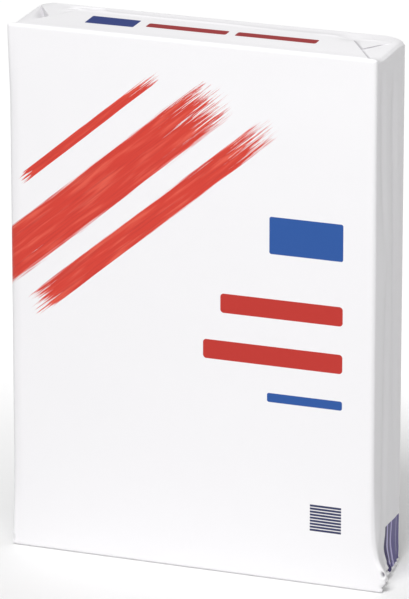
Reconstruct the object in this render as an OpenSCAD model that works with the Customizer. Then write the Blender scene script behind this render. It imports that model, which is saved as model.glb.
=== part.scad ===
// Ream of copy paper, sealed in a glued paper wrapper and standing on one short end.
// The front panel faces -Y and the long side of the sheets runs up +Z.
// The origin is under the middle of the pack, on the surface that it stands on.
// The skin is one loft: rings of points round the four long panels, closed by an
// envelope fold at each end. Grid lines of the ends follow the slanting creases.

/* [Paper] */
// Width of one sheet
sheet_w = 210; // [148:1:297]
// Length of one sheet
sheet_l = 297; // [210:1:420]
// Number of sheets in the pack
sheets = 500; // [250:50:600]
// Thickness of one sheet
sheet_t = 0.096; // [0.08:0.001:0.12]

/* [Wrapper] */
// Play of the wrapper round the stack, on each long side
wrap_play = 0.6; // [0.2:0.1:2]
// Height that the folded paper adds at each end
end_build = 2.4; // [1:0.1:5]
// Radius of the four long edges
long_r = 2.4; // [1.2:0.1:5]
// Radius of the folds round both ends
end_r = 1.6; // [0.8:0.1:4]
// How far in from the ends the panels feel the folds
end_soft = 14; // [6:1:30]
// How far the two back corners of the upper end hang down
corner_sag = 1.0; // [0:0.1:3]
// Reach of these soft corners
corner_reach = 6; // [3:0.5:12]
// How far the tucked sides of the upper end roll down to the side panels
roll_down = 1.8; // [0:0.1:4]
// Width of that roll
roll_w = 8; // [4:0.5:14]
// Distance from the front over which the roll sets in
roll_start = 12; // [4:1:20]
// How far the front panel falls back at its left edge
edge_fall = 1.2; // [0:0.1:2]
// Width of that soft edge
edge_fall_w = 8; // [4:0.5:14]
// Distance from the ends over which the edge softens
edge_fall_start = 50; // [20:5:100]

/* [End folds] */
// Distance past the rounded edge at which the slanting creases start
crease_start = 1.8; // [1.6:0.1:4]
// Lean of the front flap's left side over the depth of the pack
front_lean_left = 33; // [15:1:50]
// Lean of the front flap's right side over the depth of the pack
front_lean_right = 31; // [15:1:50]
// Lean of the back flap's left side over the depth of the pack
back_lean_left = 31; // [15:1:50]
// Lean of the back flap's right side over the depth of the pack
back_lean_right = 36; // [15:1:50]
// Distance from the back at which the left crease of the back flap starts
back_start_left = 8; // [0:0.5:16]
// Distance from the back at which its right crease starts
back_start_right = 14; // [0:0.5:16]
// Strip of the back flap left uncovered at the left
strip_left = 10; // [0.8:0.1:14]
// Strip of the back flap left uncovered at the right
strip_right = 10.6; // [0.5:0.1:14]
// Step from the front flap down to the back flap
flap_step = 0.8; // [0.3:0.1:1.5]
// Step from the back flap down to the tucked side
tuck_step = 0.5; // [0.2:0.1:1.5]
// Further sinking of the left tucked side towards its point
sink_left = 2.6; // [0:0.1:4]
// Further sinking of the right tucked side towards its point
sink_right = 1.0; // [0:0.1:4]
// Height by which the upper front flap springs up towards its free edge
flap_spring = 0.7; // [0:0.1:2]
// Length over which the layers come together at the corners
layer_taper = 7; // [3:0.5:12]
// Width over which one layer steps down to the next
step_w = 0.4; // [0.2:0.05:0.6]

/* [Back seam] */
// Place of the glued seam, from the middle of the back panel
seam_x = -22; // [-40:1:40]
// Width of the overlap
lap_w = 36; // [15:1:50]
// Height of the overlap's free edge over the back panel
lap_step = 0.4; // [0.2:0.1:1]

/* [Wear] */
// Reach of the crumpled corner at the lower right
ear_out = 7.2; // [0:0.1:9]
// Height of its tip over the base
ear_z = 8.5; // [5:0.5:15]
// Half the height over which the tip falls away
ear_half = 9.5; // [3:0.5:12]
// Depth of the crumpled corner, from the front
ear_depth = 9; // [5:0.5:20]
// Height of the crumpled stretch at the foot of the sides
foot_h = 36; // [20:1:60]
// Depth of the puckers there
pucker = 0.9; // [0:0.1:2]
// Distance from one pucker to the next
pucker_pitch = 12.5; // [8:0.5:25]
// Depth of the long soft wrinkles in the side panels
wrinkle = 0.9; // [0:0.1:2]
// Half the width of a wrinkle
wrinkle_w = 4.5; // [3:0.5:8]
// Distance over which the front and back panels follow the sides
panel_soft = 16; // [8:1:30]

/* [Hidden] */

paper_white = [0.95, 0.95, 0.96];
pack_w = sheet_w + 2 * wrap_play;
pack_t = sheets * sheet_t + 2 * wrap_play;
pack_h = sheet_l + 2 * end_build;

// Place along a rounding, as a share of its radius, that lies halfway round its first half
turn = 0.59;
// Least distance between two creases, so that their steps stay apart
line_gap = 2.2 * step_w;
corner_in = long_r + crease_start;

// Wrinkles of a side panel: depth from the front at the foot and at the head,
// and the stretch of the height in which each one shows, all as shares
WRINKLES = [
    [0.30, 0.42, 0.08, 0.62],
    [0.72, 0.60, 0.25, 0.98],
    [0.50, 0.20, 0.60, 1.00],
];

// Steps between the anchor lines of the grid
COLUMN_STEPS = [1, 1, 3, 1, 2, 1, 5];
ROW_STEPS = [1, 1, 6, 1, 2, 1, 1];
LEVEL_STEPS = [1, 1, 4, 6, 12, 4, 1, 1];

function limit(v, low, high) = max(low, min(high, v));
function ease(v) = let (c = limit(v, 0, 1)) c * c * (3 - 2 * c);
function ramp(v) = limit(v / step_w + 0.5, 0, 1);
function bell(v) = exp(-v * v);
function peak(v) = 1 / (1 + v * v);
function sum(list) = list * [for (v = list) 1];
function mix(a, b, share) = a + (b - a) * share;

// Stations that split each span between two anchors into equal steps
function spread(anchors, steps) = [
    for (k = [0 : len(steps) - 1])
        for (i = [0 : steps[k] - 1])
            mix(anchors[k], anchors[k + 1], i / steps[k]),
    anchors[len(anchors) - 1],
];

// Slanting sides of the flaps: distance from the nearer side of the pack, at depth t.
// The side is -1 at the left and 1 at the right.
function front_line(t, side) =
    corner_in + (side < 0 ? front_lean_left : front_lean_right) * t / pack_t;
function back_start(side) = side < 0 ? back_start_left : back_start_right;
function back_line(t, side) =
    let (lean = side < 0 ? back_lean_left : back_lean_right)
    corner_in + lean * max(0, pack_t - back_start(side) - t) / pack_t;

// Depth of the front flap's free edge, at a share of the way from left to right
function free_edge(share) = pack_t - long_r - mix(strip_left, strip_right, share);

// Stations from one side of the pack to the seam, at depth t
function side_stations(t, side) =
    let (
        front = front_line(t, side),
        tuck = min(front - line_gap, back_line(t, side)),
        seam = pack_w / 2 - side * seam_x - step_w / 2,
        half = step_w / 2
    )
    spread(
        [0, (1 - turn) * long_r, long_r, tuck - half, tuck + half, front - half, front + half, seam],
        COLUMN_STEPS
    );

// All the grid's columns at depth t, from left to right
function columns(t) =
    let (left = side_stations(t, -1), right = side_stations(t, 1))
    [
        for (s = left) s - pack_w / 2,
        for (i = [len(right) - 1 : -1 : 0]) pack_w / 2 - right[i],
    ];

// All the grid's rows from front to back, at a share of the way from left to right
function rows(share) =
    let (
        edge = free_edge(share),
        half = step_w / 2,
        back = pack_t - (1 - turn) * long_r
    )
    spread(
        [0, (1 - turn) * long_r, long_r, edge - half, edge + half, pack_t - long_r, back, pack_t],
        ROW_STEPS
    );

levels = spread(
    [
        0, (1 - turn) * end_r, end_r, ear_z, foot_h,
        pack_h - end_soft, pack_h - end_r, pack_h - (1 - turn) * end_r, pack_h,
    ],
    LEVEL_STEPS
);

// Depth of an end's surface under its outer flap, s from the side and t from the front
function fold_drop(s, t, side, share) =
    let (
        on_front = ramp(s - front_line(t, side)) * ramp(free_edge(share) - t),
        on_back = ramp(s - back_line(t, side)),
        sink = side < 0 ? sink_left : sink_right,
        tuck = tuck_step + sink * limit(s / front_line(pack_t / 2, side), 0, 1),
        closed = ease((pack_t - back_start(side) / 2 - t) / layer_taper)
    )
    (1 - on_front) * ease(t / layer_taper) * (flap_step + (1 - on_back) * tuck * closed);

// Further drop of the upper end: soft back corners, rolled sides and the springing flap
function upper_drop(s, t) =
    corner_sag * bell(norm([s, pack_t - t]) / corner_reach)
        + roll_down * ease(t / roll_start) * pow(limit(1 - s / roll_w, 0, 1), 2)
        + flap_spring * (1 - limit(t / (pack_t - long_r - strip_left), 0, 1));

// Push that a side panel takes from its wrinkles and from the puckers at its foot
function side_dent(t, z, side) =
    let (
        up = z / pack_h,
        folds = [
            for (w = WRINKLES)
                let (
                    line = mix(w[0], w[1], up) * pack_t,
                    from_front = side > 0 ? t : pack_t - t,
                    shown = ease((up - w[2]) * 8) * ease((w[3] - up) * 8)
                )
                shown * bell((from_front - line) / wrinkle_w)
        ],
        foot = ease(1 - z / foot_h) * (0.5 - 0.5 * cos(360 * t / pucker_pitch))
    )
    wrinkle * sum(folds) + pucker * foot;

// Reach of the crumpled corner at the lower right
function ear(t, z) = ear_out * bell(t / ear_depth) * peak((z - ear_z) / ear_half);

// The pack is moved over by half of that reach, so that its box stays centred
centring = -ear(long_r, ear_z) / 2;

// Height by which the overlap stands over the back panel
function lap(x) = x > seam_x ? 0 : limit(1 - (seam_x - x - step_w) / lap_w, 0, 1);

// Point of a box with rounded edges that belongs to a point of the plain box
function rounded(p) =
    let (
        half = [pack_w, pack_t, pack_h] / 2,
        r = [long_r, long_r, end_r],
        inner = [for (a = [0 : 2]) limit(p[a], r[a] - half[a], half[a] - r[a])],
        way = [for (a = [0 : 2]) (p[a] - inner[a]) / r[a]]
    )
    [for (a = [0 : 2]) inner[a] + way[a] * r[a] / norm(way)];

// Point of the finished skin for a plain place: x from the middle, t from the front, z up
function skin(x, t, z) =
    let (
        side = x < 0 ? -1 : 1,
        s = pack_w / 2 - abs(x),
        p = rounded([x, t - pack_t / 2, z - pack_h / 2]),
        upper = z > pack_h / 2,
        from_end = upper ? pack_h - z : z,
        drop = fold_drop(s, t, side, x / pack_w + 0.5) + (upper ? upper_drop(s, t) : 0),
        out = side > 0 ? ear(t, z) : 0,
        over = side * ease(1 - s / panel_soft) * (out - side_dent(t, z, side)),
        behind = lap_step * (1 - lap(x)) * ease(1 - (pack_t - t) / long_r),
        soft_edge = side < 0 ? pow(limit(1 - s / edge_fall_w, 0, 1), 2) : 0,
        fall = edge_fall * soft_edge * ease(1 - t / long_r) * ease(from_end / edge_fall_start)
    )
    [
        p[0] + over + centring,
        p[1] - behind + fall,
        p[2] + pack_h / 2 + (upper ? -drop : drop) * ease(1 - from_end / end_soft),
    ];

column_count = 2 * sum(COLUMN_STEPS) + 1;
row_count = sum(ROW_STEPS);
ring_size = 2 * (column_count + row_count);
level_count = len(levels) - 1;

// Plain places round the pack, walked from the front's left edge
function ring() =
    let (front = columns(0), right = rows(1), back = columns(pack_t), left = rows(0))
    [
        for (i = [0 : column_count - 1]) [front[i], 0],
        for (j = [0 : row_count - 1]) [pack_w / 2, right[j]],
        for (i = [column_count : -1 : 1]) [back[i], pack_t],
        for (j = [row_count : -1 : 1]) [-pack_w / 2, left[j]],
    ];

// Points of one end inside its ring
function end_points(z) = [
    for (i = [1 : column_count - 1])
        for (j = [1 : row_count - 1])
            let (t = rows(i / column_count)[j])
                skin(columns(t)[i], t, z)
];

// Number of the point at column i and row j of an end, whose ring and inside start at the two numbers
function end_index(i, j, ring_start, inside_start) =
    j == 0 ? ring_start + i
    : i == column_count ? ring_start + column_count + j
    : j == row_count ? ring_start + 2 * column_count + row_count - i
    : i == 0 ? ring_start + ring_size - j
    : inside_start + (i - 1) * (row_count - 1) + j - 1;

// Two triangles on each cell of an end
function end_faces(ring_start, inside_start, upper) = [
    for (i = [0 : column_count - 1])
        for (j = [0 : row_count - 1])
            let (
                a = end_index(i, j, ring_start, inside_start),
                b = end_index(i, j + 1, ring_start, inside_start),
                c = end_index(i + 1, j + 1, ring_start, inside_start),
                d = end_index(i + 1, j, ring_start, inside_start)
            )
                each upper ? [[a, b, c], [a, c, d]] : [[a, c, b], [a, d, c]]
];

// Two triangles on each cell between two rings
function wall_faces() = [
    for (k = [0 : level_count - 1])
        for (n = [0 : ring_size - 1])
            let (
                low = k * ring_size,
                high = low + ring_size,
                next = (n + 1) % ring_size
            )
                each [[low + n, high + n, high + next], [low + n, high + next, low + next]]
];

module wrapped_ream() {
    walls = [for (z = levels) for (p = ring()) skin(p[0], p[1], z)];
    lower = end_points(0);
    upper = end_points(pack_h);
    color(paper_white)
        polyhedron(
            points = concat(walls, lower, upper),
            faces = concat(
                wall_faces(),
                end_faces(0, len(walls), false),
                end_faces(level_count * ring_size, len(walls) + len(lower), true)
            ),
            convexity = 4
        );
}

wrapped_ream();
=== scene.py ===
"""A sealed ream of copy paper standing on one short end: its wrapper, print, light and camera.

The wrapper is one closed skin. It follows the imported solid's panels and folds with a finer grid,
and adds what paper does between them: lifted flap edges, small creases, long wrinkles and a
crumpled foot. Lengths of the wrapper are in millimetres until the mesh is made. Its plain places
are x from the pack's middle, t from the front panel to the back one, z up from the base, and s in
from the nearer side. A side is -1 at the left and 1 at the right.
"""

import math

import bpy
import numpy as np
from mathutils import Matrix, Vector


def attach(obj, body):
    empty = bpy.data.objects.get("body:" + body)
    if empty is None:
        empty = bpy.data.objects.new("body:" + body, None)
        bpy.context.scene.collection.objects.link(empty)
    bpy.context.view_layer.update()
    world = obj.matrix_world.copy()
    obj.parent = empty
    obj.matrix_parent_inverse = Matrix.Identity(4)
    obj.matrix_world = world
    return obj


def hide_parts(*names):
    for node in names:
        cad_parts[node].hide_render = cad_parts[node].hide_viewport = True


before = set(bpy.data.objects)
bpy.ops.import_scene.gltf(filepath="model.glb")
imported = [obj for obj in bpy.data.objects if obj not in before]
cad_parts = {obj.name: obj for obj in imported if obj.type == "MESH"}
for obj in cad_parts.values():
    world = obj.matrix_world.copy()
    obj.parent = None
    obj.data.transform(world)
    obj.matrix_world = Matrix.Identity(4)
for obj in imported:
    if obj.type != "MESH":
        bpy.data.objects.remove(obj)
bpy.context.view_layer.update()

MM = 0.001

# The stack and the wrapper's play round it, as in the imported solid
SHEET_W, SHEET_L, SHEETS, SHEET_T = 210, 297, 500, 0.096
WRAP_PLAY, END_BUILD = 0.6, 2.4
PACK_W = SHEET_W + 2 * WRAP_PLAY
PACK_T = SHEETS * SHEET_T + 2 * WRAP_PLAY
PACK_H = SHEET_L + 2 * END_BUILD

# The edges and folds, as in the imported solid, with pairs for the left and the right
LONG_R, END_R, END_SOFT = 2.4, 1.6, 14.0
CORNER_SAG, CORNER_REACH = 1.0, 6.0
ROLL_DOWN, ROLL_W, ROLL_START = 1.8, 8.0, 12.0
EDGE_FALL, EDGE_FALL_W, EDGE_FALL_START = 1.2, 8.0, 50.0
CREASE_START = 1.8
FRONT_LEAN = (33.0, 31.0)
BACK_LEAN = (31.0, 36.0)
BACK_START = (8.0, 14.0)
STRIP = (10.0, 10.6)
SINK = (2.6, 1.0)
FLAP_STEP, TUCK_STEP, LAYER_TAPER = 0.8, 0.5, 7.0
FLAP_SPRING = 0.7
SEAM_X, LAP_W, LAP_STEP = -22.0, 36.0, 0.4
EAR_OUT, EAR_Z, EAR_HALF, EAR_DEPTH = 7.2, 8.5, 9.5, 9.0
FOOT_H, PANEL_SOFT = 36.0, 16.0
PUCKER, PUCKER_PITCH = 0.9, 12.5
CORNER_IN = LONG_R + CREASE_START
SOLID_STEP_W = 0.4
LINE_GAP = 2.2 * SOLID_STEP_W
CENTRING = -EAR_OUT * math.exp(-((LONG_R / EAR_DEPTH) ** 2)) / 2

# Each long wrinkle's depth in the side panel at the foot and the head, and its start and stop up it
WRINKLES = ((0.30, 0.42, 0.08, 0.62), (0.72, 0.60, 0.25, 0.98), (0.50, 0.20, 0.60, 1.00))
WRINKLE, WRINKLE_W, WRINKLE_FADE = 1.5, 3.7, 1 / 8

# The finer steps of the end folds. A span holds the start, rise, stop and fall that band() takes
STEP_W = 0.22
UNDERCUT, UNDERCUT_W = 0.45, 0.7
RIGHT_TUCK_RISE = 0.5
FRONT_LINE_START, FRONT_LINE_RISE, FRONT_LINE_FALL = 2, 6, 2
BACK_LINE_SPAN = (19, 4, 33, 4)
# Along the free edge: where the undercut and the painted shade behind it start, their least share, and
# where at the left they are strongest
EDGE_GAP_REACH, EDGE_GAP_RISE, EDGE_GAP_LEAST = 4, 6, 0.35
EDGE_OPEN_S, EDGE_OPEN_W = 23, 6

# The pit in the upper left tucked side
PIT_APEX, PIT_DEPTH = (2.5, 45.0), 3.2
PIT_LEAN, PIT_LEAST_W = 0.12, 0.5
PIT_FALL_START, PIT_FALL, PIT_RISE, PIT_RUN = 0.10, 0.7, 0.14, 14
# Where shade is painted at the foot of the pit's falling side: its span across the pit, and its start and
# rise in depth
PIT_SHADE_SPAN, PIT_SHADE_START, PIT_SHADE_RISE = (0.05, 0.6, 1.02, 0.08), 17, 9

# Lifts of the upper end: the free edge, its hanging corner and soft sagging
EDGE_LIFT, EDGE_LIFT_W, EDGE_LIFT_EVEN, EDGE_LIFT_PITCH = 0.5, 1.3, 0.75, 26
HANGING_CORNER, HANGING_CORNER_W = 1.0, 5.5
END_SAG, END_SAG_PITCH, END_SAG_FADE = 0.15, (33, 17), (10, 8, 6)
END_CREASE_REACH = 4

# Lines of the layers below that show on the upper end: side, lift, start and end as (s, t), and width
LAYER_LINES = (
    (-1, 0.30, (18.0, 36.2), (29.0, 36.6), 1.1),
    (1, 0.25, (10.0, 36.8), (24.0, 36.4), 1.1),
    (-1, 0.60, (20.0, 40.0), (43.0, 41.5), 1.0),
    (-1, -0.60, (22.0, 43.0), (40.0, 44.0), 1.4),
)
LAYER_LINE_SPAN = (-0.08, 0.2, 1.08, 0.2)

# The side panels: one long fold at the right, the flared foot and small creases
SIDE_REACH = 3
SIDE_FOLD, SIDE_FOLD_T, SIDE_FOLD_END = 1.4, 15.0, 44.0
SIDE_FOLD_SPAN = (12, 20, 250, 70)
FOOT_FLARE, FLARE_H = 5.4, 20.0
CREASING, CREASING_PITCH, CREASING_FADE, CREASING_START = 0.22, (9, 17), 30, 4
CRUMPLE, CRUMPLE_H, CRUMPLE_UNEVEN, CRUMPLE_PITCH = 1.7, 9.0, 3, 6
FOLD_PITCH, FINE_PITCH, FINE_SHARE = (4.2, 4.4), (2.1, 2.6), 0.5
LEAN_PITCH, LEAN_SHARE, LEAN_START = (3.3, 5.0), 0.6, 2

# The crumpled corner's tip and the pocket between its folds
TIP_OUT, TIP_Z, TIP_HALF, TIP_DEPTH, TIP_REACH = 1.7, 10.5, 5.0, 5, 6
POCKET, POCKET_IN, POCKET_Z = 1.1, 1.35, 11.2
POCKET_W, POCKET_H, POCKET_SLANT = 0.75, 1.6, 0.4
POCKET_RIM, POCKET_RIM_AT, POCKET_RIM_W = 0.16, 1.9, 0.5

# The front panel: softer edges and a faint wave
LEFT_EDGE_SOFT, EDGE_SOFT_DEPTH = 1.8, 14
FOOT_EDGE_SOFT, FOOT_EDGE_SPAN = 0.9, (12, 8, 62, 30)
FOOT_BULGE, FOOT_BULGE_T, FOOT_BULGE_W = 0.6, 7, 4
PANEL_WAVE, WAVE_PITCH, WAVE_FADE = 0.16, (47, 58), (12, 20)

# Painted shade in the narrow gaps: the pit's tone, the tone and width beside each cut edge, and the
# pocket's contrast
PIT_SHADE_TONE, GAP_SHADE_TONES = 0.30, ((0.50, 2.9), (0.38, 0.8), (0.30, 7.0))
GAP_SHADE_START, GAP_SHADE_FADE = -0.05, 0.45
POCKET_SHADE_CONTRAST, POCKET_SHADE_LEAST = 1.6, 0.3

# The print gathers with the paper at the foot of the sides
GATHER, GATHER_TOP, GATHER_RISE, GATHER_FRONT, GATHER_BACK = 3.5, 27, 20, 17, 32

# Steps of the grid between its anchor lines
COLUMN_STEPS = (2, 3, 13, 1, 2, 7, 3, 2, 11, 12)
ROW_STEPS = (2, 3, 20, 26, 2, 14, 3, 2)
LEVEL_STEPS = (2, 2, 20, 40, 70, 24, 2, 2)
TURN = 0.59
BESIDE_LINE, PAST_LINE, FIRST_ROW = 2.4, 14, 12


def ease(v):
    c = np.clip(v, 0.0, 1.0)
    return c * c * (3 - 2 * c)


def ramp(v):
    return np.clip(v / STEP_W + 0.5, 0.0, 1.0)


def bell(v):
    return np.exp(-v * v)


def band(v, start, rise, stop, fall):
    """1 between start and stop and 0 outside, with a smooth rise and fall inside them."""
    return ease((v - start) / rise) * ease((stop - v) / fall)


def of_side(pair, side):
    """The left or the right value of a pair."""
    return np.where(side < 0, pair[0], pair[1])


def spread(anchors, steps):
    """Stations that split each span between two anchors into equal steps."""
    out = []
    for k, count in enumerate(steps):
        out += list(np.linspace(anchors[k], anchors[k + 1], count, endpoint=False))
    return np.array(out + [anchors[-1]])


class Waves:
    """Smooth noise of two coordinates, from a seeded grid of values between -1 and 1."""

    SIZE, STEEP = 64, 1.6

    def __init__(self, seed):
        self.grid = np.random.default_rng(seed).uniform(-1, 1, (self.SIZE, self.SIZE))

    def __call__(self, u, v):
        iu, iv = np.floor(u).astype(int), np.floor(v).astype(int)
        fu, fv = ease(u - iu), ease(v - iv)
        u0, u1, v0, v1 = iu % self.SIZE, (iu + 1) % self.SIZE, iv % self.SIZE, (iv + 1) % self.SIZE
        low = self.grid[u0, v0] * (1 - fu) + self.grid[u1, v0] * fu
        high = self.grid[u0, v1] * (1 - fu) + self.grid[u1, v1] * fu
        return low * (1 - fv) + high * fv

    def ridged(self, u, v):
        """Sharp creases between soft hollows."""
        return 0.5 - np.abs(self(u, v)) * self.STEEP


def front_line(t, side):
    """Slanting side of the front flap: distance from the pack's side at depth t."""
    return CORNER_IN + of_side(FRONT_LEAN, side) * t / PACK_T


def back_line(t, side):
    """Slanting side of the back flap under it."""
    start = of_side(BACK_START, side)
    return CORNER_IN + of_side(BACK_LEAN, side) * np.maximum(0, PACK_T - start - t) / PACK_T


def free_edge(share):
    """Depth of the front flap's free edge, at a share of the way from left to right."""
    return PACK_T - LONG_R - (STRIP[0] + (STRIP[1] - STRIP[0]) * share)


def columns(t):
    """The grid's columns at depth t, from left to right."""
    half = STEP_W / 2
    sides = []
    for side in (-1, 1):
        front = float(front_line(t, side))
        tuck = min(front - LINE_GAP, float(back_line(t, side)))
        seam = PACK_W / 2 - side * SEAM_X - half
        near, beside = (1 - TURN) * LONG_R, min(BESIDE_LINE, (front - tuck) / 2)
        anchors = [0, near, LONG_R, tuck - LINE_GAP / 2, tuck - half, tuck + half]
        anchors += [front - beside, front - half, front + half, front + PAST_LINE, seam]
        sides.append(spread(anchors, COLUMN_STEPS))
    return np.concatenate([sides[0] - PACK_W / 2, (PACK_W / 2 - sides[1])[::-1]])


def rows(share):
    """The grid's rows from front to back, at a share of the way from left to right."""
    edge, half, near = free_edge(share), STEP_W / 2, (1 - TURN) * LONG_R
    anchors = [0, near, LONG_R, FIRST_ROW, edge - half, edge + half]
    return spread(anchors + [PACK_T - LONG_R, PACK_T - near, PACK_T], ROW_STEPS)


def fold_drop(s, t, side, share, upper):
    """Depth of an end's surface under its outer flap."""
    on_front = ramp(s - front_line(t, side)) * ramp(free_edge(share) - t)
    on_back = ramp(s - back_line(t, side))
    inward = np.clip(s / front_line(PACK_T / 2, side), 0, 1)
    tuck = TUCK_STEP + of_side(SINK, side) * inward
    tuck = np.where(upper, tuck - RIGHT_TUCK_RISE * (side > 0), tuck)
    tuck = np.where(upper & (side < 0), pit(s, t), tuck)
    closed = ease((PACK_T - of_side(BACK_START, side) / 2 - t) / LAYER_TAPER)
    return (1 - on_front) * ease(t / LAYER_TAPER) * (FLAP_STEP + (1 - on_back) * tuck * closed)


def pit_share(s, t):
    """Share of the way across the left tucked side, from its outer fold to the back flap's crease."""
    leg = PIT_APEX[0] + PIT_LEAN * np.maximum(0, PIT_APEX[1] - t)
    return (s - leg) / np.maximum(PIT_LEAST_W, back_line(t, -1) - leg)


def pit(s, t):
    """Depth of the left tucked side: a steep fall to a valley, and a rise to the back flap's crease."""
    share = pit_share(s, t)
    fall = np.clip((share - PIT_FALL_START) / PIT_FALL, 0, 1)
    depth = PIT_DEPTH * fall * np.clip((PIT_APEX[1] - t) / PIT_RUN, 0, 1)
    return (TUCK_STEP + depth) * np.clip((1 - share) / PIT_RISE, 0, 1)


def pit_shade(s, t):
    """1 at the foot of the pit's falling side, where little light comes in and shade is painted."""
    return band(pit_share(s, t), *PIT_SHADE_SPAN) * ease((t - PIT_SHADE_START) / PIT_SHADE_RISE)


def beside_flaps(s, t, side, share):
    """Distances from the flaps' slanting sides and from the free edge, and where those show."""
    edge = free_edge(share)
    on_front = band(t, FRONT_LINE_START, FRONT_LINE_RISE, edge, FRONT_LINE_FALL)
    on_back = band(t, *BACK_LINE_SPAN) * (side > 0)
    open_share = (side < 0) * bell((s - EDGE_OPEN_S) / EDGE_OPEN_W)
    on_edge = ease((s - front_line(edge, side) + EDGE_GAP_REACH) / EDGE_GAP_RISE)
    on_edge = on_edge * (EDGE_GAP_LEAST + (1 - EDGE_GAP_LEAST) * open_share)
    return (front_line(t, side) - s, on_front), (back_line(t, side) - s, on_back), (t - edge, on_edge)


def under_cut(off, shown):
    """Share of the undercut at a distance from a cut edge, with the wall below the edge leaning in."""
    return shown * (1 - ramp(-off)) * bell(np.maximum(off, 0) / UNDERCUT_W)


def upper_drop(s, t):
    """Further drop of the upper end: soft back corners, rolled sides and the springing flap."""
    sag = CORNER_SAG * bell(np.hypot(s, PACK_T - t) / CORNER_REACH)
    roll = ROLL_DOWN * ease(t / ROLL_START) * np.clip(1 - s / ROLL_W, 0, 1) ** 2
    return sag + roll + FLAP_SPRING * (1 - np.clip(t / (PACK_T - LONG_R - STRIP[0]), 0, 1))


def side_dent(t, z, side):
    """Push that a side panel takes from its wrinkles and from the puckers at its foot."""
    up = z / PACK_H
    from_front = np.where(side > 0, t, PACK_T - t)
    folds = np.zeros_like(t)
    for foot, head, start, stop in WRINKLES:
        line = (foot + (head - foot) * up) * PACK_T
        folds += band(up, start, WRINKLE_FADE, stop, WRINKLE_FADE) * bell((from_front - line) / WRINKLE_W)
    pucker = ease(1 - z / FOOT_H) * (0.5 - 0.5 * np.cos(2 * np.pi * t / PUCKER_PITCH))
    return WRINKLE * folds + PUCKER * pucker


def lap(x):
    """Height share of the overlap over the back panel."""
    return np.where(x > SEAM_X, 0.0, np.clip(1 - (SEAM_X - x - STEP_W) / LAP_W, 0, 1))


def rounded(p):
    """Points of a box with rounded edges that belong to points of the plain box."""
    half = np.array([PACK_W, PACK_T, PACK_H]) / 2
    r = np.array([LONG_R, LONG_R, END_R])
    inner = np.clip(p, r - half, half - r)
    way = (p - inner) / r
    return inner + way * r / np.linalg.norm(way, axis=1, keepdims=True)


def layer_line(s, t, start, end, width):
    """1 on a line of the upper end, fading to 0 beside it and past its ends."""
    length = math.dist(start, end)
    cos, sin = (end[0] - start[0]) / length, (end[1] - start[1]) / length
    share = ((s - start[0]) * cos + (t - start[1]) * sin) / length
    off = (t - start[1]) * cos - (s - start[0]) * sin
    return bell(off / width) * band(share, *LAYER_LINE_SPAN)


def upper_creases(x, s, t, side, share):
    """Lift of the upper end from its small folds."""
    edge = free_edge(share)
    on_flap = ramp(s - front_line(t, side)) * ramp(edge - t)
    uneven = EDGE_LIFT_EVEN + (1 - EDGE_LIFT_EVEN) * Waves(6)(x / EDGE_LIFT_PITCH, t * 0)
    lift = EDGE_LIFT * on_flap * bell((edge - t) / EDGE_LIFT_W) * uneven
    from_corner = np.hypot(s - front_line(edge, 1), t - edge)
    lift -= (side > 0) * HANGING_CORNER * bell(from_corner / HANGING_CORNER_W)

    # The edge of the flap below shows through the tucked sides and the strip behind
    for its_side, height, start, end, width in LAYER_LINES:
        lift += (side == its_side) * height * layer_line(s, t, start, end, width)
    sag = END_SAG * (Waves(2)(x / END_SAG_PITCH[0] + 5, t / END_SAG_PITCH[1] + 3) - 1)
    inside = ease(s / END_SAG_FADE[0]) * ease(t / END_SAG_FADE[1]) * ease((PACK_T - t) / END_SAG_FADE[2])
    return lift + sag * inside


def foot_crumple(t, z, side):
    """Sharp small folds at the foot of the sides, out of the panel and up.

    What is added to t gives each side its own part of the noise.
    """
    top = CRUMPLE_H + CRUMPLE_UNEVEN * Waves(9)(t / CRUMPLE_PITCH, z * 0)
    reach = ease((top - z) / CRUMPLE_H)
    fold = Waves(3).ridged(t / FOLD_PITCH[0] + side * 9, z / FOLD_PITCH[1])
    fold += FINE_SHARE * Waves(4).ridged(t / FINE_PITCH[0] + side * 7, z / FINE_PITCH[1])
    lean = Waves(5).ridged(t / LEAN_PITCH[0] + side * 5, z / LEAN_PITCH[1])
    return CRUMPLE * reach * fold, CRUMPLE * reach * lean


def pocket(s, t, z):
    """1 in the hollow between two folds at the tip of the crumpled corner, darkened with painted shade,
    less than 0 on its rim.
    """
    across = (s - t - POCKET_IN) / POCKET_W
    up = (z - POCKET_Z + POCKET_SLANT * (s - POCKET_IN)) / POCKET_H
    off = np.hypot(across, up)
    return bell(off) - POCKET_RIM * bell((off - POCKET_RIM_AT) / POCKET_RIM_W)


def foot_soft(z, side):
    """Softening of the right front edge above the crumpled corner."""
    return (side > 0) * FOOT_EDGE_SOFT * band(z, *FOOT_EDGE_SPAN)


def gap_shades(x, t, z):
    """Share of the painted shade in the gaps: under the cut edges, in the pit and in the pocket."""
    side = np.where(x < 0, -1.0, 1.0)
    s = PACK_W / 2 - np.abs(x)
    at_end = (z >= PACK_H) | (z <= 0)
    shades = [at_end * (side < 0) * (z > 0) * PIT_SHADE_TONE * pit_shade(s, t)]
    for (off, shown), (tone, width) in zip(beside_flaps(s, t, side, x / PACK_W + 0.5), GAP_SHADE_TONES):
        fade = ease((width - off) / (GAP_SHADE_FADE * width))
        shades.append(at_end * tone * shown * (off > GAP_SHADE_START) * fade)
    shades.append((side > 0) * np.clip(pocket(s, t, z) * POCKET_SHADE_CONTRAST - POCKET_SHADE_LEAST, 0, 1))
    return np.max(shades, axis=0)


def end_lift(x, s, t, z, side):
    """Lift of the ends by their folds and creases."""
    share = x / PACK_W + 0.5
    upper = z > PACK_H / 2
    from_end = np.minimum(z, PACK_H - z)
    drop = fold_drop(s, t, side, share, upper) + upper * upper_drop(s, t)
    lift = np.where(upper, -drop, drop) * ease(1 - from_end / END_SOFT)
    return lift + upper * upper_creases(x, s, t, side, share) * ease(1 - from_end / END_CREASE_REACH)


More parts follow.
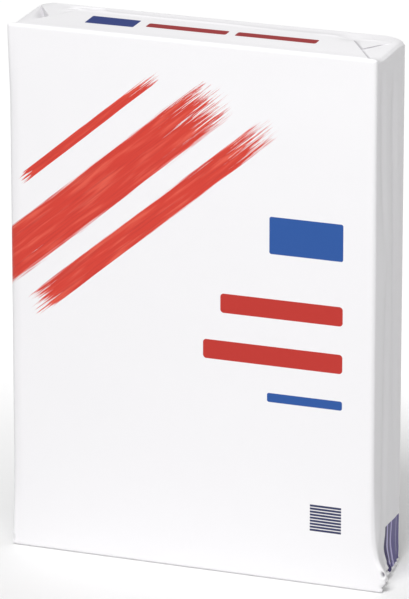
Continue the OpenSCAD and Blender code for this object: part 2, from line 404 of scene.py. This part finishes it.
def side_shift(s, t, z, side):
    """Move of the side panels along x, and their lift, by wrinkles, the crumpled corner and the foot."""
    right = side > 0
    at_side = ease(1 - s / SIDE_REACH)
    ear = EAR_OUT * bell(t / EAR_DEPTH) / (1 + ((z - EAR_Z) / EAR_HALF) ** 2)
    flare = FOOT_FLARE * (1 - t / PACK_T) * ease(1 - z / FLARE_H)
    over = side * ease(1 - s / PANEL_SOFT) * (right * np.maximum(ear, flare) - side_dent(t, z, side))

    crumple, lean = foot_crumple(t, z, side)
    creases = Waves(7).ridged(t / CREASING_PITCH[0] + side * 3, z / CREASING_PITCH[1])
    creases = creases * ease((FOOT_H + CREASING_FADE - z) / CREASING_FADE) * ease(t / CREASING_START)
    over += side * at_side * (crumple + CREASING * creases)

    to_end = (SIDE_FOLD_END - t) / (SIDE_FOLD_END - SIDE_FOLD_T)
    fold = np.clip(np.minimum(t / SIDE_FOLD_T, to_end), 0, 1)
    over += right * SIDE_FOLD * fold * at_side * band(z, *SIDE_FOLD_SPAN)
    tip = bell((z - TIP_Z) / TIP_HALF) * bell(t / TIP_DEPTH) * ease(1 - s / TIP_REACH)
    over += right * TIP_OUT * tip
    over += FOOT_BULGE * foot_soft(z, side) * at_side * bell((t - FOOT_BULGE_T) / FOOT_BULGE_W)
    return over, at_side * lean * ease(z / LEAN_START) * LEAN_SHARE


def panel_shift(x, s, t, z, side):
    """Move of the front and back panels along y, by soft edges, the overlap, waves and the pocket."""
    from_end = np.minimum(z, PACK_H - z)
    on_front, on_back = ease(1 - t / LONG_R), ease(1 - (PACK_T - t) / LONG_R)
    behind = LAP_STEP * (1 - lap(x)) * on_back
    wave = PANEL_WAVE * np.abs(Waves(1)(x / WAVE_PITCH[0] + 11, z / WAVE_PITCH[1]))
    wave = wave * ease(s / WAVE_FADE[0]) * ease(from_end / WAVE_FADE[1])
    left_soft = (side < 0) * (EDGE_FALL + LEFT_EDGE_SOFT) * ease(from_end / EDGE_FALL_START)
    fall = (left_soft + foot_soft(z, side)) * np.clip(1 - s / EDGE_FALL_W, 0, 1) ** 2
    hollow = (side > 0) * POCKET * pocket(s, t, z)
    return hollow - behind + wave * (on_front - on_back) + fall * ease(1 - t / EDGE_SOFT_DEPTH)


def skin(x, t, z):
    """Points of the wrapper for plain places on the box."""
    side = np.where(x < 0, -1.0, 1.0)
    s = PACK_W / 2 - np.abs(x)
    cuts = [under_cut(off, shown) for off, shown in beside_flaps(s, t, side, x / PACK_W + 0.5)]
    under = UNDERCUT * (z >= PACK_H)
    inward = side * under * np.maximum(cuts[0], cuts[1])
    p = rounded(np.stack([x - inward, t - under * cuts[2] - PACK_T / 2, z - PACK_H / 2], 1))
    over, side_lift = side_shift(s, t, z, side)
    across = p[:, 0] + over + CENTRING
    deep = p[:, 1] + panel_shift(x, s, t, z, side)
    up = p[:, 2] + PACK_H / 2 + end_lift(x, s, t, z, side) + side_lift
    return np.stack([across, deep, up], 1)


def unfolded(x, t, z):
    """Place on the flat wrapper sheet: u across it from the front panel's middle, v up it."""
    on_top, on_base = z >= PACK_H, z <= 0
    touch = 1e-6
    beside = ~(on_top | on_base) & (np.abs(x) >= PACK_W / 2 - touch)
    behind = ~(on_top | on_base) & (t >= PACK_T - touch)
    gather = GATHER * ease((GATHER_TOP - z) / GATHER_RISE)
    gather = gather * np.clip(t / GATHER_FRONT, 0, 1) * np.clip((PACK_T - t) / GATHER_BACK, 0, 1)
    u = np.where(beside, np.sign(x) * (PACK_W / 2 + t - gather), x)
    u = np.where(behind, x + 2 * PACK_W, u)
    v = np.where(on_top, PACK_H + t, np.where(on_base, -t, z))
    return np.stack([u, v, np.zeros_like(u)], 1)


def ring_places():
    """Places once round the pack at one height, from the front left edge past the right side."""
    half = PACK_W / 2
    ring = [(x, 0.0) for x in columns(0)[:-1]]
    ring += [(half, t) for t in rows(1)[:-1]]
    ring += [(x, PACK_T) for x in columns(PACK_T)[:0:-1]]
    ring += [(-half, t) for t in rows(0)[:0:-1]]
    return ring


def wrapper_grid():
    """Plain places of the closed skin and the faces between them."""
    n_col, n_row = 2 * sum(COLUMN_STEPS) + 1, sum(ROW_STEPS)
    near = (1 - TURN) * END_R
    anchors = [0, near, END_R, EAR_Z, FOOT_H, PACK_H - END_SOFT, PACK_H - END_R, PACK_H - near, PACK_H]
    levels = spread(anchors, LEVEL_STEPS)
    ring = ring_places()
    size = len(ring)
    places = [(x, t, z) for z in levels for x, t in ring]

    faces = []
    for k in range(len(levels) - 1):
        for n in range(size):
            low, high, after = k * size, (k + 1) * size, (n + 1) % size
            faces.append((low + n, low + after, high + after, high + n))

    for z, start, upper in ((0.0, 0, False), (PACK_H, (len(levels) - 1) * size, True)):
        inside = len(places)
        for i in range(1, n_col):
            for j in range(1, n_row):
                t = rows(i / n_col)[j]
                places.append((columns(t)[i], t, z))

        def number(i, j):
            """Number of the end's point in column i and row j, with the ring's points on its border."""
            if j == 0:
                return start + i
            if i == n_col:
                return start + n_col + j
            if j == n_row:
                return start + 2 * n_col + n_row - i
            if i == 0:
                return start + size - j
            return inside + (i - 1) * (n_row - 1) + j - 1

        for i in range(n_col):
            for j in range(n_row):
                cell = (number(i, j), number(i + 1, j), number(i + 1, j + 1), number(i, j + 1))
                faces.append(cell if upper else cell[::-1])
    return np.array(places), faces


def make_wrapper():
    places, faces = wrapper_grid()
    x, t, z = places.T
    mesh = bpy.data.meshes.new("wrapper")
    mesh.from_pydata((skin(x, t, z) * MM).tolist(), [], faces)
    sheet = mesh.attributes.new("sheet", "FLOAT_VECTOR", "POINT")
    sheet.data.foreach_set("vector", unfolded(x, t, z).ravel())
    # Share of painted shade in the narrow gaps, the pit and the pocket
    mesh.attributes.new("gap_shade", "FLOAT", "POINT").data.foreach_set("value", gap_shades(x, t, z))
    mesh.shade_smooth()
    mesh.set_sharp_from_angle(angle=math.radians(35))
    piece = bpy.data.objects.new("wrapper", mesh)
    bpy.context.collection.objects.link(piece)
    return piece


wrapper = make_wrapper()
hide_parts("wrapped_ream")
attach(wrapper, "root")


class Nodes:
    """Short calls for a material's nodes. Each gives back an output socket."""

    def __init__(self, tree):
        self.tree = tree

    def add(self, kind, **settings):
        node = self.tree.nodes.new(kind)
        for name, value in settings.items():
            setattr(node, name, value)
        return node

    def put(self, socket, value):
        if isinstance(value, bpy.types.NodeSocket):
            self.tree.links.new(value, socket)
        else:
            socket.default_value = value

    def math(self, operation, *values):
        node = self.add("ShaderNodeMath", operation=operation)
        for socket, value in zip(node.inputs, values):
            self.put(socket, value)
        return node.outputs[0]

    def times(self, a, b):
        return self.math("MULTIPLY", a, b)

    def minus(self, a, b):
        return self.math("SUBTRACT", a, b)

    def plus(self, a, b):
        return self.math("ADD", a, b)

    def step(self, value, low, high):
        """0 below low and 1 above high, with a smooth turn between."""
        node = self.add("ShaderNodeMapRange", interpolation_type="SMOOTHSTEP")
        self.put(node.inputs["Value"], value)
        self.put(node.inputs["From Min"], low)
        self.put(node.inputs["From Max"], high)
        return node.outputs["Result"]

    def mix(self, share, a, b):
        node = self.add("ShaderNodeMix", data_type="RGBA")
        self.put(node.inputs["Factor"], share)
        self.put(node.inputs["A"], a)
        self.put(node.inputs["B"], b)
        return node.outputs["Result"]

    def noise(self, u, v, seed, detail=2.0, roughness=0.5):
        place = self.add("ShaderNodeCombineXYZ")
        self.put(place.inputs[0], u)
        self.put(place.inputs[1], v)
        self.put(place.inputs[2], float(seed))
        node = self.add("ShaderNodeTexNoise")
        self.put(node.inputs["Vector"], place.outputs[0])
        self.put(node.inputs["Scale"], 1.0)
        self.put(node.inputs["Detail"], detail)
        self.put(node.inputs["Roughness"], roughness)
        return node.outputs["Fac"]

    def bar(self, u, v, middle, size, radius=0.5, soft=0.25):
        """1 inside a rectangle with rounded corners, 0 outside."""
        ways = []
        for value, centre, length in zip((u, v), middle, size):
            off = self.math("ABSOLUTE", self.minus(value, centre))
            ways.append(self.minus(off, length / 2 - radius))
        outer = [self.math("MAXIMUM", way, 0.0) for way in ways]
        square = self.plus(self.math("POWER", outer[0], 2.0), self.math("POWER", outer[1], 2.0))
        inner = self.math("MINIMUM", self.math("MAXIMUM", ways[0], ways[1]), 0.0)
        off = self.minus(self.plus(self.math("SQRT", square), inner), radius)
        return self.step(off, soft / 2, -soft / 2)


def srgb(r, g, b):
    """Linear colour of an 8-bit screen colour."""
    parts = [c / 255 for c in (r, g, b)]
    return tuple(c / 12.92 if c <= 0.04045 else ((c + 0.055) / 1.055) ** 2.4 for c in parts) + (1.0,)


PAPER, PAPER_SHADE = (0.905, 0.897, 0.912, 1.0), (0.885, 0.877, 0.894, 1.0)
# The second of these, the gap tone, is painted shade for the narrow gaps, the pit and the pocket
FIBRE_TONE, GAP_SHADE_TONE = (0.80, 0.79, 0.82, 1.0), (0.20, 0.19, 0.22, 1.0)
RED, LIGHT_RED, DEEP_RED = srgb(212, 48, 26), srgb(226, 84, 62), srgb(186, 34, 24)
BLUE, BAR_RED, NAVY = srgb(25, 81, 158), srgb(190, 40, 29), srgb(18, 26, 80)
FLAP_BLUE, FLAP_RED = srgb(36, 56, 124), srgb(156, 42, 44)
VIOLET, DEEP_VIOLET, PALE_VIOLET = srgb(92, 85, 142), srgb(56, 46, 98), srgb(190, 183, 226)

# The paper's grain: noise scales in cells per mm, and shares of its tones
CLOUD_SCALE, CLOUD_SHARE = 0.03, 0.5
FIBRE_SCALE, FIBRE_SHARE = 1.6, 0.05
ROUGH, ROUGH_FIBRE, ROUGH_INK, SPECULAR = 0.46, 0.12, 0.08, 0.2
BUMP_STRENGTH, BUMP_HEIGHT = 0.12, 0.05 * MM

# Brush strokes that rise to the right over the front panel's upper left: start, end, width and seed
PRINT_LEFT = -PACK_W / 2
STROKES = (
    ((PRINT_LEFT - 12, 158), (PRINT_LEFT + 118, 268), 25.0, 11),
    ((PRINT_LEFT + 20, 146), (PRINT_LEFT + 146, 252.5), 13.0, 23),
    ((PRINT_LEFT + 10, 215), (PRINT_LEFT + 84, 277.5), 5.5, 37),
)
STROKE_INK = 0.97
SWAY, SWAY_SCALE = 0.12, 0.008
HAIR_SCALE, STREAK_SCALE = (0.018, 1.1), (0.03, 0.32)
HAIR_DETAIL, HAIR_ROUGHNESS = 4.0, 0.62
RAGGED_SIDE, RAGGED_HEAD, RAGGED_TAIL = 0.45, 0.42, 0.76
SIDE_STEP, HEAD_STEP, TAIL_STEP = (1.02, 0.93), (-0.005, 0.012), (1.0, 0.985)
DRY_TAIL, DRY_TAIL_STEP = 0.15, (0.55, 1.05)
DRY_SIDE, DRY_SIDE_STEP = 0.03, (0.7, 1.0)
BARE_STEP, LIGHT_STEP, DEEP_STEP, DEEP_SHARE = (0.235, 0.29), (0.46, 0.70), (0.50, 0.36), 0.5

# Plain fields in line at their right on the front panel: tone, height up it, size and corner radius
PRINT_RIGHT = PACK_W / 2 - 17.8
FRONT_FIELDS = (
    (BLUE, 197.5, (42, 21), 1.2),
    (BLUE, 105.3, (43, 5.2), 1.2),
    (BAR_RED, 156, (70, 11), 2.0),
    (BAR_RED, 129, (80, 11), 2.0),
)

# Plain fields along the upper flap: tone, place across it, size and corner radius
FLAP_MIDDLE = PACK_H + 21.5
FLAP_FIELDS = (
    (FLAP_BLUE, -52, (28, 13), 0.8),
    (FLAP_RED, -9, (46, 7.0), 1.2),
    (FLAP_RED, 42, (46, 7.0), 1.2),
)
FIELD_INK = 0.98

# A block of level stripes at the front panel's lower right
LEVEL_STRIPES, LEVEL_FOOT, LEVEL_PITCH = 9, 32.0, 1.75
LEVEL_W, LEVEL_THICK, LEVEL_ROUND = 18, 1.25, 0.2

# A block of upright stripes at the foot of the right side: the width and tone of each, from its front
SIDE_STRIPES = (
    (3.6, DEEP_VIOLET), (2.4, PALE_VIOLET), (2.6, DEEP_VIOLET), (2.8, VIOLET),
    (1.8, PALE_VIOLET), (8.4, VIOLET), (0.7, PALE_VIOLET), (4.8, VIOLET),
)
SIDE_STRIPES_START = PACK_W / 2 + 19.5
SIDE_STRIPES_FOOT, SIDE_STRIPES_TOP, SIDE_STRIPES_SLANT = (2.3, 2.9), 31.6, 0.06
SIDE_STRIPE_H, SIDE_STRIPE_ROUND, SIDE_STRIPE_SOFT = 40, 0.1, 0.4
SIDE_STRIPE_MIDDLE = 16
STRIPE_INK = 0.96


def brush_stroke(n, u, v, start, end, width, seed):
    """Cover and tone of a dry brush stroke, from its wet start to its dry end."""
    length = math.dist(start, end)
    cos, sin = (end[0] - start[0]) / length, (end[1] - start[1]) / length
    du, dv = n.minus(u, start[0]), n.minus(v, start[1])
    far = n.plus(n.times(du, cos), n.times(dv, sin))
    off = n.minus(n.times(dv, cos), n.times(du, sin))
    sway = n.noise(n.times(far, SWAY_SCALE), 0.0, seed)
    off = n.plus(off, n.times(n.minus(sway, 0.5), width * SWAY))
    hair_place = (n.times(far, HAIR_SCALE[0]), n.times(off, HAIR_SCALE[1]))
    hair = n.noise(*hair_place, seed + 3, detail=HAIR_DETAIL, roughness=HAIR_ROUGHNESS)
    streak = n.noise(n.times(far, STREAK_SCALE[0]), n.times(off, STREAK_SCALE[1]), seed + 7)

    share = n.math("DIVIDE", far, length)
    edge = n.math("DIVIDE", n.math("ABSOLUTE", off), width / 2)
    ragged = n.minus(hair, 0.5)
    body = n.step(n.plus(edge, n.times(ragged, RAGGED_SIDE)), *SIDE_STEP)
    head = n.step(n.plus(share, n.times(ragged, RAGGED_HEAD)), *HEAD_STEP)
    tail = n.step(n.plus(share, n.times(ragged, RAGGED_TAIL)), *TAIL_STEP)
    dry_tail = n.times(n.step(share, *DRY_TAIL_STEP), DRY_TAIL)
    dry_side = n.times(n.step(edge, *DRY_SIDE_STEP), DRY_SIDE)
    inked = n.step(n.minus(hair, n.plus(dry_tail, dry_side)), *BARE_STEP)
    cover = n.times(n.times(body, inked), n.times(head, tail))
    return cover, streak, hair


def print_strokes(n, u, v, colour):
    """Colour with the brush strokes over it, and where their ink lies."""
    ink = 0.0
    for start, end, width, seed in STROKES:
        cover, streak, hair = brush_stroke(n, u, v, start, end, width, seed)
        tone = n.mix(n.step(streak, *LIGHT_STEP), RED, LIGHT_RED)
        tone = n.mix(n.times(n.step(hair, *DEEP_STEP), DEEP_SHARE), tone, DEEP_RED)
        colour = n.mix(n.times(cover, STROKE_INK), colour, tone)
        ink = n.math("MAXIMUM", ink, cover)
    return colour, ink


def print_fields(n, u, v, colour, ink):
    """Colour with the plain fields over it, and where the ink lies then."""
    fields = [(tone, PRINT_RIGHT - size[0] / 2, up, size, r) for tone, up, size, r in FRONT_FIELDS]
    fields += [(tone, across, FLAP_MIDDLE, size, r) for tone, across, size, r in FLAP_FIELDS]
    for tone, across, up, size, radius in fields:
        cover = n.bar(u, v, (across, up), size, radius)
        colour = n.mix(n.times(cover, FIELD_INK), colour, tone)
        ink = n.math("MAXIMUM", ink, cover)
    return colour, ink


def print_level_stripes(n, u, v, colour):
    for k in range(LEVEL_STRIPES):
        middle = (PRINT_RIGHT - LEVEL_W / 2, LEVEL_FOOT + LEVEL_PITCH * k)
        cover = n.bar(u, v, middle, (LEVEL_W, LEVEL_THICK), LEVEL_ROUND)
        colour = n.mix(n.times(cover, STRIPE_INK), colour, NAVY)
    return colour


def print_side_stripes(n, u, v, colour):
    place = SIDE_STRIPES_START
    top = n.minus(SIDE_STRIPES_TOP, n.times(n.minus(u, place), SIDE_STRIPES_SLANT))
    whole = n.times(n.step(v, *SIDE_STRIPES_FOOT), n.step(n.minus(top, v), 0.0, 0.5))
    for width, tone in SIDE_STRIPES:
        middle, size = (place + width / 2, SIDE_STRIPE_MIDDLE), (width, SIDE_STRIPE_H)
        cover = n.bar(u, v, middle, size, SIDE_STRIPE_ROUND, soft=SIDE_STRIPE_SOFT)
        colour = n.mix(n.times(n.times(cover, whole), STRIPE_INK), colour, tone)
        place += width
    return colour


def paper_material():
    material = bpy.data.materials.new("printed_paper")
    material.use_nodes = True
    n = Nodes(material.node_tree)
    shader = material.node_tree.nodes["Principled BSDF"]
    sheet = n.add("ShaderNodeAttribute", attribute_name="sheet").outputs["Vector"]
    parts = n.add("ShaderNodeSeparateXYZ")
    n.put(parts.inputs[0], sheet)
    u, v = parts.outputs[0], parts.outputs[1]

    cloud = n.noise(n.times(u, CLOUD_SCALE), n.times(v, CLOUD_SCALE), 1, detail=3.0)
    fibre = n.noise(n.times(u, FIBRE_SCALE), n.times(v, FIBRE_SCALE), 2, detail=4.0, roughness=0.7)
    colour = n.mix(n.times(cloud, CLOUD_SHARE), PAPER, PAPER_SHADE)
    colour = n.mix(n.times(fibre, FIBRE_SHARE), colour, FIBRE_TONE)
    colour, ink = print_strokes(n, u, v, colour)
    colour, ink = print_fields(n, u, v, colour, ink)
    colour = print_level_stripes(n, u, v, colour)
    colour = print_side_stripes(n, u, v, colour)
    # Painted shade darkens the colour in the narrow gaps, the pit and the pocket
    gap_shade = n.add("ShaderNodeAttribute", attribute_name="gap_shade").outputs["Fac"]
    n.put(shader.inputs["Base Color"], n.mix(gap_shade, colour, GAP_SHADE_TONE))

    rough = n.plus(ROUGH, n.times(fibre, ROUGH_FIBRE))
    n.put(shader.inputs["Roughness"], n.minus(rough, n.times(ink, ROUGH_INK)))
    n.put(shader.inputs["Specular IOR Level"], SPECULAR)
    bump = n.add("ShaderNodeBump")
    n.put(bump.inputs["Strength"], BUMP_STRENGTH)
    n.put(bump.inputs["Distance"], BUMP_HEIGHT)
    n.put(bump.inputs["Height"], fibre)
    n.put(shader.inputs["Normal"], bump.outputs["Normal"])
    return material


wrapper.data.materials.append(paper_material())

# The floor glows a little, and more behind the pack, from the first distance in metres to the second
FLOOR_REACH = 12.0
FLOOR_TONE, WHITE = (0.76, 0.76, 0.76, 1.0), (1.0, 1.0, 1.0, 1.0)
FLOOR_ROUGH, FLOOR_SPECULAR = 0.9, 0.1
FLOOR_GLOW, BACK_GLOW, BACK_GLOW_FROM, BACK_GLOW_TO = 0.06, 0.37, -0.15, 0.35


def make_floor():
    far = FLOOR_REACH
    mesh = bpy.data.meshes.new("floor")
    mesh.from_pydata([(-far, -far, 0), (far, -far, 0), (far, far, 0), (-far, far, 0)], [], [(0, 1, 2, 3)])
    floor = bpy.data.objects.new("floor", mesh)
    bpy.context.collection.objects.link(floor)
    material = bpy.data.materials.new("pale_floor")
    material.use_nodes = True
    n = Nodes(material.node_tree)
    shader = material.node_tree.nodes["Principled BSDF"]
    place = n.add("ShaderNodeSeparateXYZ")
    n.put(place.inputs[0], n.add("ShaderNodeNewGeometry").outputs["Position"])
    behind = n.step(place.outputs[1], BACK_GLOW_FROM, BACK_GLOW_TO)
    n.put(shader.inputs["Base Color"], FLOOR_TONE)
    n.put(shader.inputs["Emission Color"], WHITE)
    n.put(shader.inputs["Emission Strength"], n.plus(FLOOR_GLOW, n.times(behind, BACK_GLOW)))
    n.put(shader.inputs["Roughness"], FLOOR_ROUGH)
    n.put(shader.inputs["Specular IOR Level"], FLOOR_SPECULAR)
    mesh.materials.append(material)


LIT_POINT = Vector((0, 0, 0.2))
WORLD_STRENGTH, KEY_STRENGTH, NEAR_STRENGTH = 0.22, 2.04, 3.2


def add_lamp(name, kind, direction, strength, **settings):
    """A lamp about a metre from a point inside the pack, in the given direction, aimed at the point."""
    lamp = bpy.data.lights.new(name, kind)
    lamp.energy = strength
    for setting, value in settings.items():
        setattr(lamp, setting, value)
    body = bpy.data.objects.new(name, lamp)
    body.location = LIT_POINT + Vector(direction)
    body.rotation_euler = Vector(direction).to_track_quat("Z", "Y").to_euler()
    bpy.context.collection.objects.link(body)


def make_light():
    world = bpy.data.worlds.new("studio")
    bpy.context.scene.world = world
    world.use_nodes = True
    background = world.node_tree.nodes["Background"]
    background.inputs["Color"].default_value = WHITE
    background.inputs["Strength"].default_value = WORLD_STRENGTH
    add_lamp("key", "SUN", (-0.04, -0.58, 0.82), KEY_STRENGTH, angle=math.radians(24))
    add_lamp("near", "AREA", (0.24, -0.55, 0.80), NEAR_STRENGTH, size=0.4)


# The photograph's viewpoint: its place in metres, the angles down and round, and a long lens
CAMERA_PLACE = (0.99869, -2.69270, 1.10451)
CAMERA_DOWN, CAMERA_ROUND = 18.41, 20.42
SENSOR_MM, LENS_MM = 36.0, 333.34


def make_camera():
    lens = bpy.data.cameras.new("camera")
    lens.sensor_width = SENSOR_MM
    lens.lens = LENS_MM
    lens.clip_end = 50.0
    camera = bpy.data.objects.new("camera", lens)
    camera.location = CAMERA_PLACE
    camera.rotation_euler = (math.radians(90 - CAMERA_DOWN), 0.0, math.radians(CAMERA_ROUND))
    bpy.context.collection.objects.link(camera)
    bpy.context.scene.camera = camera


make_floor()
make_light()
make_camera()
bpy.context.scene.view_settings.view_transform = "Standard"
